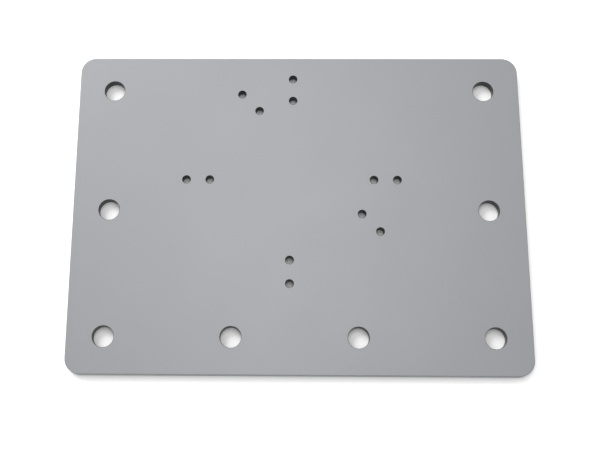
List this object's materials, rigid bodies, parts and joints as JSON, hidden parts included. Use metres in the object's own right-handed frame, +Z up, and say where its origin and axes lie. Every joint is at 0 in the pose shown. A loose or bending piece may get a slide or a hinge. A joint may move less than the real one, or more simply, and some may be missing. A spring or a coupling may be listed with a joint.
{
  "type": "fixture plate",
  "caption": "Flat rectangular metal plate with rounded corners, large bolt-down holes round its edge and small paired screw holes for stops and locating blocks.",
  "frame": {"origin": "centre of the underside, on the surface the plate lies on", "axes": "+X along the long side, +Y across the plate towards the long edge that has large holes at its corners only, +Z up through the thickness"},
  "size_m": [0.25, 0.18, 0.006],
  "materials": {
    "plate_finish": "fine-blasted and anodised, even mid grey with a dull satin sheen on every face and edge; drilled hole walls darker, with fine rings"
  },
  "bodies": {
    "root": {"fixture_plate": "plate_finish"}
  },
  "joints": []
}
